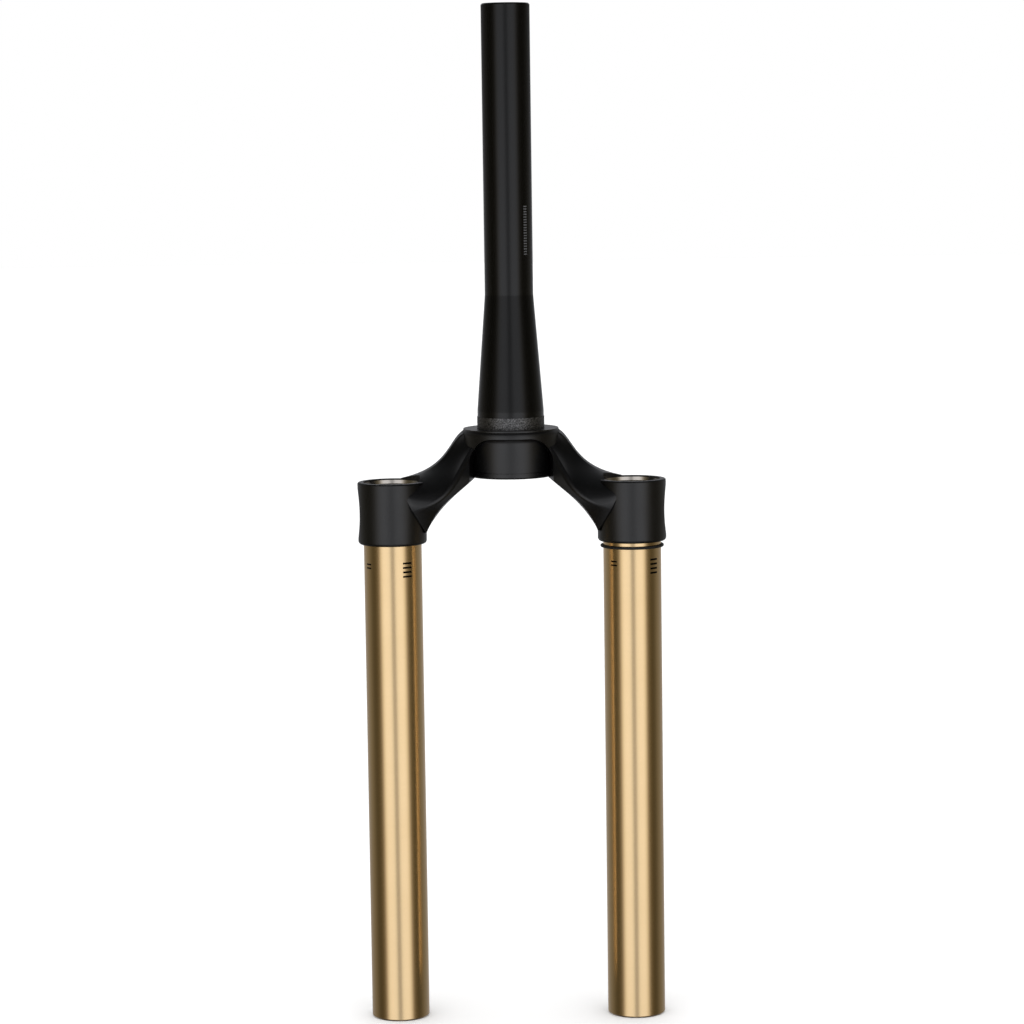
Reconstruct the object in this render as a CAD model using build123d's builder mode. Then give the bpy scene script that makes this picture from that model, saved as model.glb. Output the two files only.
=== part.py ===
from build123d import *
from math import radians, tan
import os

# Crown, steerer and upper tube unit of a single-crown suspension fork.
# All sizes are in millimetres. The origin is on the steerer axis at the crown race
# seat; +Z runs up the steerer, +X to the rider's left and -Y forwards.

# Steerer tube: 1 1/8 inch at the stem, tapering out to a 1.5 inch lower bearing.
steerer_radius = 14.3
steerer_height = 248.7
steerer_wall = 2.3
steerer_edge = 0.8
taper_top = 78.7
taper_bottom = 10.4
race_seat_radius = 19.9
race_seat_height = 7.0
race_seat_step = 0.25
butt_top = 70.0
steerer_foot_step = 0.9
steerer_foot_wall = 3.2
steerer_foot_chamfer = 0.8

# Upper tubes.
tube_spacing = 140.5
crown_offset = 25.0
tube_radius = 17.0
tube_wall = 2.0
tube_press_step = 0.25
tube_bottom = -347.9
tube_recess = 0.7
tube_end_chamfer = 1.0
thread_step = 0.6
thread_length = 12.0
thread_lead_in = 0.5
thread_lead_depth = 2.0
snap_groove_height = 7.0
snap_groove_width = 1.4
snap_groove_depth = 0.8

# Crown head: a flange that carries the race, over a turned boss.
flange_overhang = 4.3
flange_thickness = 4.6
flange_edge = 3.2
shoulder_depth = 20.0
facing_reach = 8.0
boss_wall = 6.0
boss_bottom = -28.5
boss_flare = 3.2
boss_lip_height = 3.2
boss_groove_width = 0.8
boss_groove_depth = 0.6
boss_edge = 0.9

# Crown clamps around the upper tubes.
clamp_wall = 3.1
clamp_top = -28.5
clamp_bottom = -65.0
clamp_top_edge = 1.0
clamp_bottom_edge = 2.0
scallop_depth = 1.3
scallop_length = 30.0

# Crown arms. Each arm is lofted through five sections with five corners: rear top, front
# top, crest, front low and rear low. A corner is a pair: its distance forwards of the
# section's centre and its height over it.
arm_nose_back = 8.0
arm_head_inset = 6.6
arm_head_drop = 9.9
arm_clamp_gap = 1.45
arm_clamp_drop = 11.8
arm_root_inset = 12.3
arm_root_drop = 15.5
arm_root_tilt = 28.0
nose_corners = ((-15.0, 4.5), (9.0, 4.3), (16.5, 1.0), (5.0, -11.0), (-16.0, -12.5))
head_corners = ((-15.0, 12.0), (9.0, 11.8), (18.0, 2.6), (5.0, -11.0), (-16.0, -12.5))
middle_corners = ((-16.5, 11.2), (-2.0, 11.0), (23.5, -1.8), (13.5, -9.3), (-15.5, -11.4))
clamp_corners = ((-18.0, 18.5), (0.0, 18.3), (18.4, -1.6), (10.5, -7.8), (-13.0, -9.7))
root_corners = ((-17.0, 17.5), (8.0, 17.5), (17.2, -1.5), (7.5, -16.5), (-6.0, -16.5))
head_scoop_share = 0.12
middle_scoop_share = 0.02
clamp_scoop_share = -0.20
root_scoop_share = -0.20
arm_edge = 1.3
head_crest_edge = 1.8
middle_crest_edge = 2.2
clamp_crest_edge = 2.8
root_crest_edge = 5.0

# Pocket in the front of the head, which bares the turned boss between the arms.
pocket_gap = 0.3
pocket_corner_radius = 13.0
pocket_draft = 10.0
pocket_front = 27.0
pocket_reach = 20.0

# Sag ring on the left tube.
ring_section_radius = 0.8
ring_clearance = 0.05
ring_gap = 2.0

half_spacing = tube_spacing / 2
steerer_bore_radius = steerer_radius - steerer_wall
steerer_foot_radius = race_seat_radius - steerer_foot_step
steerer_foot_bore = steerer_foot_radius - steerer_foot_wall
boss_radius = steerer_foot_radius + boss_wall
flange_radius = boss_radius + flange_overhang
pocket_half_width = boss_radius + pocket_gap
tube_top = clamp_top - tube_recess
tube_bore_radius = tube_radius - tube_wall
tube_press_radius = tube_radius - tube_press_step
thread_radius = tube_bore_radius + thread_step
clamp_radius = tube_radius + clamp_wall
scallop_height = (clamp_top + clamp_bottom) / 2
scallop_radius = (scallop_length**2 / 4 + scallop_depth**2) / (2 * scallop_depth)

# ---------------------------------------------------------------- steerer tube
with BuildPart() as steerer_tube:
    with BuildSketch(Plane.XZ):
        with BuildLine():
            Polyline(
                (steerer_foot_bore, boss_bottom),
                (steerer_foot_radius - steerer_foot_chamfer, boss_bottom),
                (steerer_foot_radius, boss_bottom + steerer_foot_chamfer),
                (steerer_foot_radius, 0),
                (race_seat_radius, 0),
                (race_seat_radius, race_seat_height),
                (race_seat_radius - race_seat_step, race_seat_height),
                (race_seat_radius - race_seat_step, taper_bottom),
                (steerer_radius, taper_top),
                (steerer_radius, steerer_height - steerer_edge),
                (steerer_radius - steerer_edge, steerer_height),
                (steerer_bore_radius, steerer_height),
                (steerer_bore_radius, butt_top),
                (steerer_foot_bore, 0),
                close=True,
            )
        make_face()
    revolve(axis=Axis.Z)
steerer_tube.part.label = "steerer_tube"

# ---------------------------------------------------------------- crown
arm_head = Vector(-(boss_radius - arm_head_inset), 0, -arm_head_drop)
arm_clamp_x = -(half_spacing - clamp_radius - arm_clamp_gap)
arm_clamp = Vector(arm_clamp_x, -crown_offset, clamp_top - arm_clamp_drop)
arm_root = Vector(-(half_spacing - arm_root_inset), -crown_offset, clamp_top - arm_root_drop)
arm_middle = (arm_head + arm_clamp) / 2
arm_run = Vector(arm_clamp.X - arm_head.X, 0, arm_clamp.Z - arm_head.Z)
arm_nose = arm_head - arm_run.normalized() * arm_nose_back
root_run = Vector(-1, 0, -tan(radians(arm_root_tilt)))


def arm_section(centre, direction, corners, crest_edge, scoop_share):
    """One section of the left arm, square to a direction in the plane of the fork."""
    rear_top, front_top, crest, front_low, rear_low = [Vector(*corner) for corner in corners]
    chord = crest - front_top
    scoop = (front_top + crest) / 2 + Vector(chord.Y, -chord.X) * scoop_share
    with BuildSketch(Plane(origin=centre, x_dir=(0, -1, 0), z_dir=direction)) as section:
        with BuildLine():
            Line(rear_low, rear_top)
            Line(rear_top, front_top)
            ThreePointArc(front_top, scoop, crest)
            Line(crest, front_low)
            Line(front_low, rear_low)
        make_face()
        for corner in (rear_low, rear_top, front_top, front_low):
            fillet(section.vertices().sort_by_distance(corner)[0], radius=arm_edge)
        fillet(section.vertices().sort_by_distance(crest)[0], radius=crest_edge)
    return section.sketch


with BuildPart() as left_arm:
    sections = [
        arm_section(arm_nose, arm_run, nose_corners, head_crest_edge, head_scoop_share),
        arm_section(arm_head, arm_run, head_corners, head_crest_edge, head_scoop_share),
        arm_section(arm_middle, arm_run, middle_corners, middle_crest_edge, middle_scoop_share),
        arm_section(arm_clamp, arm_run, clamp_corners, clamp_crest_edge, clamp_scoop_share),
        arm_section(arm_root, root_run, root_corners, root_crest_edge, root_scoop_share),
    ]
    loft(sections=sections)

with BuildPart() as boss:
    flare_top = -flange_thickness
    with BuildSketch(Plane.XZ):
        with BuildLine():
            groove_low = boss_bottom + boss_lip_height
            groove_high = groove_low + boss_groove_width
            Polyline(
                (0, 0),
                (0, boss_bottom),
                (boss_radius - boss_edge, boss_bottom),
                (boss_radius, boss_bottom + boss_edge),
                (boss_radius, groove_low),
                (boss_radius - boss_groove_depth, groove_low),
                (boss_radius - boss_groove_depth, groove_high),
                (boss_radius, groove_high),
                (boss_radius, flare_top - boss_flare),
            )
            RadiusArc(
                (boss_radius, flare_top - boss_flare),
                (boss_radius + boss_flare, flare_top),
                boss_flare,
            )
            Polyline((boss_radius + boss_flare, flare_top), (boss_radius + boss_flare, 0), (0, 0))
        make_face()
    revolve(axis=Axis.Z)

with BuildPart() as flange:
    with BuildSketch(Plane.XY):
        Circle(flange_radius)
    extrude(amount=-shoulder_depth)
    fillet(flange.edges().group_by(Axis.Z)[-1], radius=flange_edge)

with BuildPart() as clamps:
    with BuildSketch(Plane.XY.offset(clamp_bottom)):
        with Locations((half_spacing, -crown_offset), (-half_spacing, -crown_offset)):
            Circle(clamp_radius)
    extrude(amount=clamp_top - clamp_bottom)
    fillet(clamps.edges().group_by(Axis.Z)[-1], radius=clamp_top_edge)
    fillet(clamps.edges().group_by(Axis.Z)[0], radius=clamp_bottom_edge)

with BuildPart() as pocket:
    with BuildSketch(Plane(origin=(0, -pocket_front, 0), x_dir=(-1, 0, 0), z_dir=(0, 1, 0))):
        with Locations((0, -flange_thickness)):
            Rectangle(2 * pocket_half_width, -2 * boss_bottom, align=(Align.CENTER, Align.MAX))
        fillet(vertices().group_by(Axis.Y)[-1], radius=pocket_corner_radius)
    extrude(amount=pocket_front, taper=pocket_draft)
    extrude(to_extrude=pocket.faces().sort_by(Axis.Y)[0], amount=pocket_reach)
    add(boss.part, mode=Mode.SUBTRACT)

with BuildPart() as crown:
    add(flange.part)
    add(boss.part)
    add(left_arm.part)
    mirror(left_arm.part, about=Plane.YZ)
    add(clamps.part)
    with BuildSketch(Plane.XY):
        Circle(flange_radius + facing_reach)
    extrude(amount=facing_reach, mode=Mode.SUBTRACT)
    add(pocket.part, mode=Mode.SUBTRACT)
    mirror(pocket.part, about=Plane.XZ, mode=Mode.SUBTRACT)
    with BuildSketch(Plane.XY.offset(clamp_bottom)):
        with Locations((half_spacing, -crown_offset), (-half_spacing, -crown_offset)):
            Circle(tube_press_radius)
    extrude(amount=-clamp_bottom, mode=Mode.SUBTRACT)
    with BuildSketch(Plane.XY):
        Circle(steerer_foot_radius)
    extrude(amount=boss_bottom, mode=Mode.SUBTRACT)
    with BuildSketch(Plane.XZ.offset(crown_offset)):
        with Locations((half_spacing + clamp_radius - scallop_depth + scallop_radius, scallop_height)):
            Circle(scallop_radius)
        with Locations((-half_spacing - clamp_radius + scallop_depth - scallop_radius, scallop_height)):
            Circle(scallop_radius)
    extrude(amount=clamp_radius, both=True, mode=Mode.SUBTRACT)
crown.part.label = "crown"


# ---------------------------------------------------------------- upper tubes
def upper_tube(side):
    """Upper tube on one side: -1 is the rider's right, +1 the left."""
    plane = Plane(origin=(side * half_spacing, -crown_offset, 0), x_dir=(1, 0, 0), z_dir=(0, -1, 0))
    snap_low = tube_bottom + snap_groove_height
    snap_high = snap_low + snap_groove_width
    snap_radius = tube_bore_radius + snap_groove_depth
    with BuildPart() as tube:
        with BuildSketch(plane):
            with BuildLine():
                Polyline(
                    (tube_bore_radius, tube_bottom),
                    (tube_radius - tube_end_chamfer, tube_bottom),
                    (tube_radius, tube_bottom + tube_end_chamfer),
                    (tube_radius, clamp_bottom),
                    (tube_press_radius, clamp_bottom),
                    (tube_press_radius, tube_top),
                    (thread_radius + thread_lead_in, tube_top),
                    (thread_radius, tube_top - thread_lead_depth),
                    (thread_radius, tube_top - thread_length),
                    (tube_bore_radius, tube_top - thread_length),
                    (tube_bore_radius, snap_high),
                    (snap_radius, snap_high),
                    (snap_radius, snap_low),
                    (tube_bore_radius, snap_low),
                    close=True,
                )
            make_face()
        revolve(axis=Axis((side * half_spacing, -crown_offset, 0), (0, 0, 1)))
    return tube.part


with BuildPart() as upper_tube_left:
    add(upper_tube(1))
upper_tube_left.part.label = "upper_tube_left"

with BuildPart() as upper_tube_right:
    add(upper_tube(-1))
upper_tube_right.part.label = "upper_tube_right"

# ---------------------------------------------------------------- sag ring
with BuildPart() as sag_o_ring:
    ring_height = clamp_bottom - ring_gap - ring_section_radius
    with Locations((half_spacing, -crown_offset, ring_height)):
        Torus(tube_radius + ring_clearance + ring_section_radius, ring_section_radius)
sag_o_ring.part.label = "sag_o_ring"

os.makedirs("parts", exist_ok=True)
export_step(steerer_tube.part, "parts/steerer_tube.step")
export_step(crown.part, "parts/crown.step")
export_step(upper_tube_left.part, "parts/upper_tube_left.step")
export_step(upper_tube_right.part, "parts/upper_tube_right.step")
export_step(sag_o_ring.part, "parts/sag_o_ring.step")
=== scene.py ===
import math

import bpy
from mathutils import Matrix, Vector


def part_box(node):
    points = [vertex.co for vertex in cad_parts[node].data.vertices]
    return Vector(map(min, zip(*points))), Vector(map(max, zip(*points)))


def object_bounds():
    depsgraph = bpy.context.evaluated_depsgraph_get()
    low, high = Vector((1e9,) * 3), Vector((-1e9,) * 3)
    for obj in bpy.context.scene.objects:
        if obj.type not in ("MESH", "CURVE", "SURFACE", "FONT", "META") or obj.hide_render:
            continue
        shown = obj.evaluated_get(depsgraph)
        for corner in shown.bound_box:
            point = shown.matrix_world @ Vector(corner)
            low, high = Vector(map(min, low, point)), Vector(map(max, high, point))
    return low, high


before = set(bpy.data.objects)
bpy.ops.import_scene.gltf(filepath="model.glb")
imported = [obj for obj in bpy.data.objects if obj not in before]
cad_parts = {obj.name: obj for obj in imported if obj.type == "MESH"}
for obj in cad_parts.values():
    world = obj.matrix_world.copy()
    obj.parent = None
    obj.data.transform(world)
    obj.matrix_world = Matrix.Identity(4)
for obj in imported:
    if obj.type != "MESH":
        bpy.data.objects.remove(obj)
cad_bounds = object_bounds()

MM = 0.001


# ---------------------------------------------------------------- places read from the frame
def centre_of(node):
    """Middle of a node's box."""
    low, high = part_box(node)
    return (Vector(low) + Vector(high)) / 2


left_axis = centre_of("upper_tube_left")
right_axis = centre_of("upper_tube_right")
steerer_axis = (0, 0)
tube_low, tube_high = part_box("upper_tube_left")
tube_radius = (tube_high[0] - tube_low[0]) / 2
crown_low, crown_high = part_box("crown")
clamp_foot = crown_low[2]
steerer_low, steerer_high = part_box("steerer_tube")
seat_radius = (steerer_high[0] - steerer_low[0]) / 2
emblem_height = (clamp_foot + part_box("upper_tube_left")[1][2]) / 2
floor_height = cad_bounds[0][2]

# Sizes that tell one surface of a piece from another.
TUBE_SKIN = 0.8 * MM
SEAT_SKIN = 0.5 * MM
SEAT_HEIGHT = 7.0 * MM
STEERER_BORE_LIMIT = 12.6 * MM
TURNED_BOSS_LIMIT = 25.3 * MM
SCALLOP_REACH = 2.2 * MM

# ---------------------------------------------------------------- camera
CAMERA_DISTANCE = 1.9445
CAMERA_HEIGHT = 0.1698
CAMERA_PITCH = 0.1127
CAMERA_ROLL = -0.0139
CAMERA_LENS = 115.83
CAMERA_SENSOR = 36
CAMERA_NEAR = 0.05
CAMERA_FAR = 50


def make_camera():
    """Long lens from straight ahead and a little above the crown, tipped slightly down."""
    forward = Vector((0, math.cos(CAMERA_PITCH), -math.sin(CAMERA_PITCH)))
    level_right = Vector((1, 0, 0))
    level_up = level_right.cross(forward)
    right = level_right * math.cos(CAMERA_ROLL) + level_up * math.sin(CAMERA_ROLL)
    up = level_up * math.cos(CAMERA_ROLL) - level_right * math.sin(CAMERA_ROLL)
    lens = bpy.data.cameras.new("camera")
    lens.sensor_width = CAMERA_SENSOR
    lens.lens = CAMERA_LENS
    lens.clip_start = CAMERA_NEAR
    lens.clip_end = CAMERA_FAR
    camera = bpy.data.objects.new("camera", lens)
    turn = Matrix((right, up, -forward)).transposed()
    place = Matrix.Translation((0, -CAMERA_DISTANCE, CAMERA_HEIGHT))
    camera.matrix_world = place @ turn.to_4x4()
    bpy.context.scene.collection.objects.link(camera)
    bpy.context.scene.camera = camera


# ---------------------------------------------------------------- node helpers
def math_node(tree, operation, *values):
    """Output of a Math node whose inputs are numbers or sockets."""
    node = tree.nodes.new("ShaderNodeMath")
    node.operation = operation
    for socket, value in zip(node.inputs, values):
        if isinstance(value, (int, float)):
            socket.default_value = value
        else:
            tree.links.new(value, socket)
    return node.outputs[0]


def product(tree, first, *others):
    """Product of numbers or sockets; of masks, it is 1 where all of them are."""
    total = first
    for value in others:
        total = math_node(tree, "MULTIPLY", total, value)
    return total


def band(tree, value, low, high):
    """1 where a value lies between two limits, else 0."""
    above = math_node(tree, "GREATER_THAN", value, low)
    below = math_node(tree, "LESS_THAN", value, high)
    return product(tree, above, below)


def split(tree, vector):
    """The x, y and z of a vector, as sockets."""
    node = tree.nodes.new("ShaderNodeSeparateXYZ")
    tree.links.new(vector, node.inputs[0])
    return node.outputs[0], node.outputs[1], node.outputs[2]


def ramp(tree, factor, stops):
    """Linear colour ramp through (position, grey or colour) stops."""
    node = tree.nodes.new("ShaderNodeValToRGB")
    node.color_ramp.interpolation = "LINEAR"
    elements = node.color_ramp.elements
    while len(elements) < len(stops):
        elements.new(0.5)
    for element, (position, colour) in zip(elements, stops):
        element.position = position
        if isinstance(colour, (int, float)):
            colour = (colour, colour, colour)
        element.color = (*colour, 1)
    tree.links.new(factor, node.inputs[0])
    return node.outputs[0]


def mix_colours(tree, factor, first, second, blend="MIX"):
    """Colour mix; the factor and both colours are sockets or plain values."""
    node = tree.nodes.new("ShaderNodeMix")
    node.data_type = "RGBA"
    node.blend_type = blend
    for index, value in ((0, factor), (6, first), (7, second)):
        if isinstance(value, (int, float)):
            node.inputs[index].default_value = value
        elif isinstance(value, tuple):
            node.inputs[index].default_value = (*value, 1)
        else:
            tree.links.new(value, node.inputs[index])
    return node.outputs[2]


def mix_numbers(tree, factor, first, second):
    """Number that goes from first to second as the factor goes from 0 to 1."""
    change = math_node(tree, "SUBTRACT", second, first)
    return math_node(tree, "MULTIPLY_ADD", change, factor, first)


def noise(tree, vector, scale, detail=3.0, roughness=0.55):
    """Noise value, about 0.5 on average."""
    node = tree.nodes.new("ShaderNodeTexNoise")
    node.inputs["Scale"].default_value = scale
    node.inputs["Detail"].default_value = detail
    node.inputs["Roughness"].default_value = roughness
    tree.links.new(vector, node.inputs["Vector"])
    return node.outputs[0]


def stretched_noise(tree, vector, scales, detail):
    """Noise value with a different scale along each axis."""
    node = tree.nodes.new("ShaderNodeMapping")
    node.inputs["Scale"].default_value = scales
    tree.links.new(vector, node.inputs["Vector"])
    return noise(tree, node.outputs[0], 1.0, detail)


def bump(tree, height, strength, distance):
    """Bump normal from a height, with the distance in metres."""
    node = tree.nodes.new("ShaderNodeBump")
    node.inputs["Strength"].default_value = strength
    node.inputs["Distance"].default_value = distance
    tree.links.new(height, node.inputs["Height"])
    return node.outputs[0]


def new_material(name):
    """Material with a Principled shader; returns the material, its tree, shader and position."""
    material = bpy.data.materials.new(name)
    material.use_nodes = True
    tree = material.node_tree
    shader = tree.nodes["Principled BSDF"]
    position = tree.nodes.new("ShaderNodeTexCoord").outputs["Object"]
    return material, tree, shader, position


def round_axis(tree, position, axis):
    """Distance from an upright axis, and angle from straight ahead, as sockets."""
    x, y, _ = split(tree, position)
    across = math_node(tree, "SUBTRACT", x, axis[0])
    back = math_node(tree, "SUBTRACT", y, axis[1])
    ahead = product(tree, back, -1.0)
    square = math_node(tree, "MULTIPLY_ADD", across, across, product(tree, back, back))
    return math_node(tree, "SQRT", square), math_node(tree, "ARCTAN2", across, ahead)


def ticks(tree, angle, height, middle_angle, half_angle, top, pitch, thickness, count):
    """Mask of short level marks one under another, each spanning an angle of a round part."""
    across = band(tree, angle, middle_angle - half_angle, middle_angle + half_angle)
    column = band(tree, height, top - pitch * (count - 1) - thickness, top)
    steps = math_node(tree, "DIVIDE", math_node(tree, "SUBTRACT", top, height), pitch)
    inside = math_node(tree, "LESS_THAN", math_node(tree, "FRACT", steps), thickness / pitch)
    return product(tree, across, column, inside)


# ---------------------------------------------------------------- materials
def gold_tube_material(name, axis, long_mark_angle, short_mark_angle):
    """Polished hard-anodised tube with ground rings, a paler bore and two black scale marks."""
    material, tree, shader, position = new_material(name)
    distance, angle = round_axis(tree, position, axis)
    height = split(tree, position)[2]
    long_mark = ticks(
        tree, angle, height, long_mark_angle, half_angle=0.17,
        top=clamp_foot - 9.5 * MM, pitch=2.6 * MM, thickness=1.1 * MM, count=4,
    )
    short_mark = ticks(
        tree, angle, height, short_mark_angle, half_angle=0.13,
        top=clamp_foot - 10.5 * MM, pitch=2.2 * MM, thickness=0.9 * MM, count=2,
    )
    mark = math_node(tree, "MAXIMUM", long_mark, short_mark)
    bore = math_node(tree, "LESS_THAN", distance, tube_radius - TUBE_SKIN)
    cloud = noise(tree, position, scale=45.0)
    gold = mix_colours(tree, cloud, (0.88, 0.64, 0.345), (0.93, 0.685, 0.385))
    coloured = mix_colours(tree, bore, gold, (0.74, 0.69, 0.62))
    marked = mix_colours(tree, mark, coloured, (0.008, 0.006, 0.004))
    tree.links.new(marked, shader.inputs["Base Color"])
    rings = stretched_noise(tree, position, (40.0, 40.0, 5200.0), detail=2.0)
    polished = mix_numbers(tree, rings, 0.205, 0.255)
    tree.links.new(mix_numbers(tree, mark, polished, 0.5), shader.inputs["Roughness"])
    tree.links.new(bump(tree, rings, strength=0.12, distance=0.01 * MM), shader.inputs["Normal"])
    shader.inputs["Metallic"].default_value = 1.0
    return material


def steerer_material():
    """Satin black anodised tube, with a bare speckled race seat and a column of etched ticks."""
    material, tree, shader, position = new_material("satin_black_steerer")
    distance, angle = round_axis(tree, position, steerer_axis)
    height = split(tree, position)[2]
    outside = math_node(tree, "GREATER_THAN", distance, seat_radius - SEAT_SKIN)
    seat = product(tree, outside, band(tree, height, 0.0, SEAT_HEIGHT))
    bore = math_node(tree, "LESS_THAN", distance, STEERER_BORE_LIMIT)
    etched = ticks(
        tree, angle, height, middle_angle=0.78, half_angle=0.09,
        top=131.0 * MM, pitch=1.55 * MM, thickness=0.75 * MM, count=19,
    )
    cloud = noise(tree, position, scale=60.0)
    black = mix_colours(tree, cloud, (0.0008, 0.0008, 0.0009), (0.0018, 0.0018, 0.0020))
    speckle = noise(tree, position, scale=1300.0, detail=4.0, roughness=0.7)
    seat_colour = ramp(tree, speckle, ((0.35, 0.04), (0.5, 0.17), (0.68, 0.44)))
    dressed = mix_colours(tree, seat, black, seat_colour)
    marked = mix_colours(tree, etched, dressed, (0.09, 0.09, 0.093))
    finished = mix_colours(tree, bore, marked, (0.010, 0.010, 0.011))
    tree.links.new(finished, shader.inputs["Base Color"])
    grain = stretched_noise(tree, position, (1200.0, 1200.0, 2600.0), detail=3.0)
    satin = mix_numbers(tree, grain, 0.21, 0.29)
    tree.links.new(mix_numbers(tree, seat, satin, 0.52), shader.inputs["Roughness"])
    relief = mix_numbers(tree, seat, product(tree, grain, 0.15), speckle)
    tree.links.new(bump(tree, relief, strength=0.35, distance=0.05 * MM), shader.inputs["Normal"])
    tree.links.new(seat, shader.inputs["Metallic"])
    return material


def scallop_bars(tree, position):
    """Mask of three slanted bars in the scallop on the outer side of each clamp."""
    slope = 0.45
    pitch = 1.6 * MM
    x, y, z = split(tree, position)
    outer = math_node(
        tree, "GREATER_THAN", math_node(tree, "ABSOLUTE", x), crown_high[0] - SCALLOP_REACH
    )
    slant = math_node(tree, "MULTIPLY_ADD", z, slope, y)
    along = math_node(tree, "SUBTRACT", slant, left_axis[1] + slope * emblem_height)
    stripes = band(tree, math_node(tree, "PINGPONG", along, pitch), 0.0, 0.55 * MM)
    span = band(tree, along, -4.4 * MM, 4.4 * MM)
    rows = band(tree, z, emblem_height - 3.5 * MM, emblem_height + 3.5 * MM)
    return product(tree, stripes, span, rows, outer)


def crown_material():
    """Satin black forging with a fine grain, turned rings on the boss, and pale scallop bars."""
    material, tree, shader, position = new_material("satin_black_forging")
    cloud = noise(tree, position, scale=70.0)
    black = mix_colours(tree, cloud, (0.0012, 0.0012, 0.0013), (0.0024, 0.0024, 0.0026))
    marked = mix_colours(tree, scallop_bars(tree, position), black, (0.20, 0.20, 0.205))
    tree.links.new(marked, shader.inputs["Base Color"])
    distance, _ = round_axis(tree, position, steerer_axis)
    boss = math_node(tree, "LESS_THAN", distance, TURNED_BOSS_LIMIT)
    grain = noise(tree, position, scale=2600.0)
    turned = stretched_noise(tree, position, (60.0, 60.0, 3000.0), detail=2.0)
    relief = mix_numbers(tree, product(tree, boss, 0.5), grain, turned)
    tree.links.new(bump(tree, relief, strength=0.3, distance=0.02 * MM), shader.inputs["Normal"])
    tree.links.new(mix_numbers(tree, cloud, 0.34, 0.42), shader.inputs["Roughness"])
    shader.inputs["Specular IOR Level"].default_value = 0.82
    return material


def rubber_material():
    """Matte black rubber with a faint moulding grain."""
    material, tree, shader, position = new_material("black_rubber")
    grain = noise(tree, position, scale=1800.0)
    colour = mix_colours(tree, grain, (0.006, 0.006, 0.006), (0.014, 0.014, 0.014))
    tree.links.new(colour, shader.inputs["Base Color"])
    tree.links.new(mix_numbers(tree, grain, 0.45, 0.60), shader.inputs["Roughness"])
    tree.links.new(bump(tree, grain, strength=0.25, distance=0.02 * MM), shader.inputs["Normal"])
    return material


def floor_material():
    """Plain pale studio floor."""
    material, tree, shader, position = new_material("pale_floor")
    cloud = noise(tree, position, scale=3.0)
    colour = mix_colours(tree, cloud, (0.94, 0.94, 0.94), (0.96, 0.96, 0.96))
    tree.links.new(colour, shader.inputs["Base Color"])
    shader.inputs["Roughness"].default_value = 0.9
    shader.inputs["Specular IOR Level"].default_value = 0.0
    return material


def dress(node, material):
    """Puts one material on every slot of a CAD node."""
    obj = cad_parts[node]
    if not obj.material_slots:
        obj.data.materials.append(material)
    for slot in obj.material_slots:
        slot.material = material


# ---------------------------------------------------------------- studio
# Light by direction: 0 is straight ahead of the object and 1 straight behind it.
AZIMUTH_LIGHT = (
    (0.000, 0.42),
    (0.032, 0.48),
    (0.060, 1.00),
    (0.100, 1.05),
    (0.215, 1.05),
    (0.262, (0.82, 0.775, 0.70)),
    (0.310, (0.24, 0.21, 0.16)),
    (0.360, (0.120, 0.100, 0.060)),
    (0.430, (0.075, 0.062, 0.036)),
    (0.500, (0.085, 0.074, 0.048)),
    (0.610, (0.170, 0.155, 0.120)),
    (0.800, 0.27),
    (0.920, 0.45),
    (1.000, 0.85),
)
# Light by height: 0 is straight down, 0.5 the horizon and 1 straight up.
HEIGHT_LIGHT = (
    (0.00, 0.32),
    (0.10, 0.20),
    (0.22, 0.50),
    (0.34, 0.85),
    (0.385, 1.05),
    (0.482, 1.18),
    (0.515, 0.48),
    (0.56, 0.32),
    (0.60, 0.85),
    (0.70, 0.85),
    (0.78, 0.12),
    (1.00, 0.06),
)
LIGHT_TINT = (0.985, 0.995, 1.04)
SEEN_COLOUR = (1.0, 1.0, 1.0)
LAMP_ANGLE = 1.6
LAMP_ENERGY = 3.6
LAMP_HEIGHT = 3.0
FLOOR_HALF_WIDTH = 12.0


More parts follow.
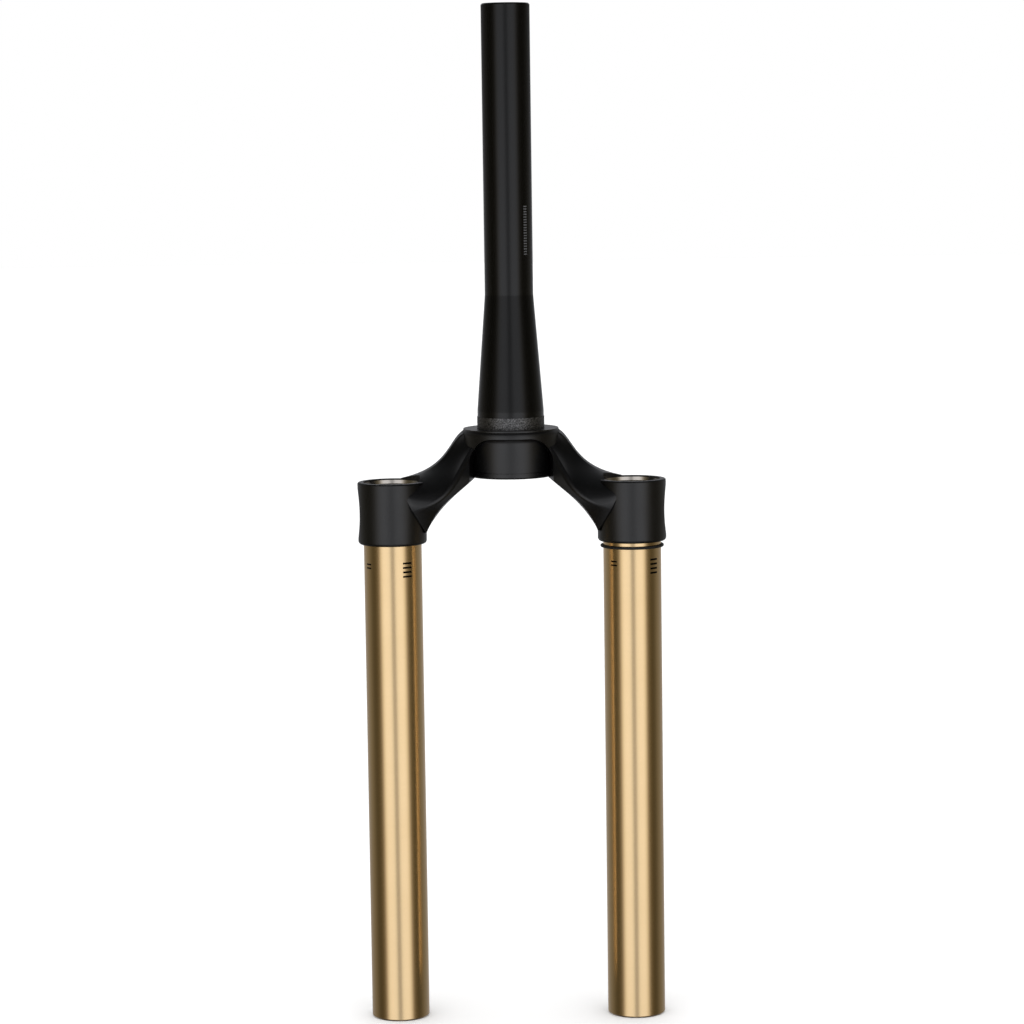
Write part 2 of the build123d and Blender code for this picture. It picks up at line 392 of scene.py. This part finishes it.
def make_world():
    """Light painted by direction: lamps ahead, dark sides and a paler rear; white to the camera."""
    world = bpy.data.worlds.new("studio")
    bpy.context.scene.world = world
    world.use_nodes = True
    tree = world.node_tree
    tree.nodes.clear()
    x, y, z = split(tree, tree.nodes.new("ShaderNodeTexCoord").outputs["Generated"])
    ahead = product(tree, y, -1.0)
    azimuth = math_node(tree, "ABSOLUTE", math_node(tree, "ARCTAN2", x, ahead))
    around = ramp(tree, math_node(tree, "DIVIDE", azimuth, math.pi), AZIMUTH_LIGHT)
    fade = ramp(tree, math_node(tree, "MULTIPLY_ADD", z, 0.5, 0.5), HEIGHT_LIGHT)
    level = mix_colours(tree, 1.0, around, fade, blend="MULTIPLY")
    tinted = mix_colours(tree, 1.0, level, LIGHT_TINT, blend="MULTIPLY")
    seen = tree.nodes.new("ShaderNodeLightPath").outputs["Is Camera Ray"]
    shown = mix_colours(tree, seen, tinted, SEEN_COLOUR)
    background = tree.nodes.new("ShaderNodeBackground")
    tree.links.new(shown, background.inputs["Color"])
    output = tree.nodes.new("ShaderNodeOutputWorld")
    tree.links.new(background.outputs[0], output.inputs["Surface"])


def make_lamp():
    """Wide soft overhead lamp that lights the floor and isn't mirrored in the parts."""
    light = bpy.data.lights.new("ceiling_lamp", "SUN")
    light.angle = LAMP_ANGLE
    light.energy = LAMP_ENERGY
    lamp = bpy.data.objects.new("ceiling_lamp", light)
    lamp.location = (0, 0, LAMP_HEIGHT)
    lamp.visible_glossy = False
    bpy.context.scene.collection.objects.link(lamp)


def make_floor():
    """Wide pale floor under the tubes' feet, which the parts don't mirror."""
    signs = ((-1, -1), (1, -1), (1, 1), (-1, 1))
    corners = [(a * FLOOR_HALF_WIDTH, b * FLOOR_HALF_WIDTH, floor_height) for a, b in signs]
    mesh = bpy.data.meshes.new("floor")
    mesh.from_pydata(corners, [], [(0, 1, 2, 3)])
    mesh.materials.append(floor_material())
    floor = bpy.data.objects.new("floor", mesh)
    floor.visible_glossy = False
    bpy.context.scene.collection.objects.link(floor)


make_camera()
make_world()
make_lamp()
make_floor()
bpy.context.scene.view_settings.view_transform = "Standard"

dress("upper_tube_left", gold_tube_material("gold_tube_left", left_axis, 0.80, -0.72))
dress("upper_tube_right", gold_tube_material("gold_tube_right", right_axis, 0.55, -0.95))
dress("steerer_tube", steerer_material())
dress("crown", crown_material())
dress("sag_o_ring", rubber_material())
